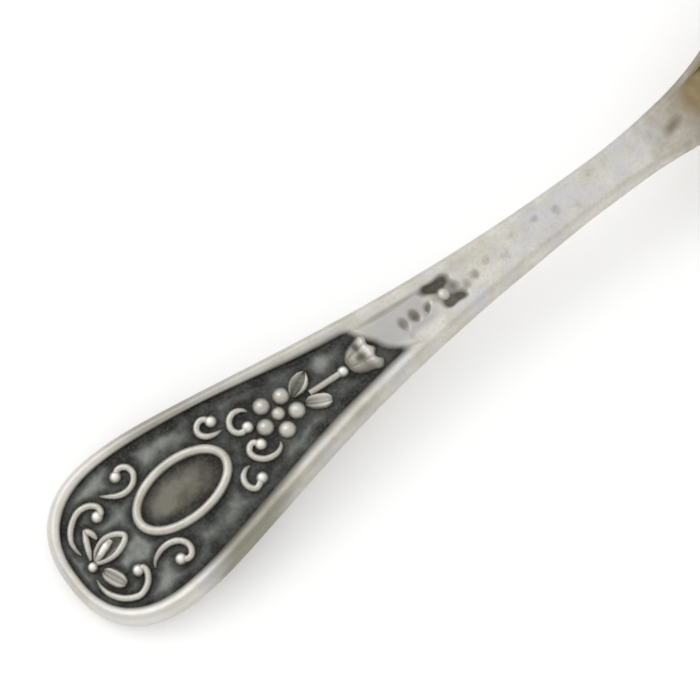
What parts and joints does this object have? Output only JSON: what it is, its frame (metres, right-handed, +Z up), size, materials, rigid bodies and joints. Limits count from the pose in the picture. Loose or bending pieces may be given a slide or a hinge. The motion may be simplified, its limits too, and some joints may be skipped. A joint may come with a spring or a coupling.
{
  "type": "salt spoon",
  "caption": "Small salt spoon with a gilt oval bowl, a slender arched stem and a broad round-ended handle with scrolls, leaves, a flower and husks raised on its sunk panel.",
  "frame": {"origin": "middle of the spoon's bounding box, on the table that it lies on", "axes": "+X along the spoon from the handle's tip to the nose of the bowl, +Y to the spoon's left seen from the tip, +Z up out of the bowl"},
  "size_m": [0.0686, 0.014, 0.0064],
  "materials": {
    "handle_silver": "satin",
    "ornament_silver": "satin",
    "gilt": "gloss"
  },
  "bodies": {
    "root": {"handle": "handle_silver", "bowl": "gilt", "tip_bead": "ornament_silver", "tip_leaf_centre": "ornament_silver", "tip_leaf_left": "ornament_silver", "tip_leaf_right": "ornament_silver", "tip_scroll_left": "ornament_silver", "tip_scroll_right": "ornament_silver", "side_scroll_left": "ornament_silver", "side_scroll_right": "ornament_silver", "outer_scroll_left": "ornament_silver", "outer_scroll_right": "ornament_silver", "inner_scroll_left": "ornament_silver", "inner_scroll_right": "ornament_silver", "cartouche_ring": "ornament_silver", "flower_eye": "ornament_silver", "petal_1": "ornament_silver", "petal_2": "ornament_silver", "petal_3": "ornament_silver", "petal_4": "ornament_silver", "petal_5": "ornament_silver", "sprig_leaf_left": "ornament_silver", "sprig_leaf_right": "ornament_silver", "bud_rod": "ornament_silver", "bud_bead": "ornament_silver", "husk_1": "ornament_silver", "husk_2": "ornament_silver", "husk_3": "ornament_silver", "husk_4": "ornament_silver", "end_bead": "ornament_silver"}
  },
  "joints": []
}
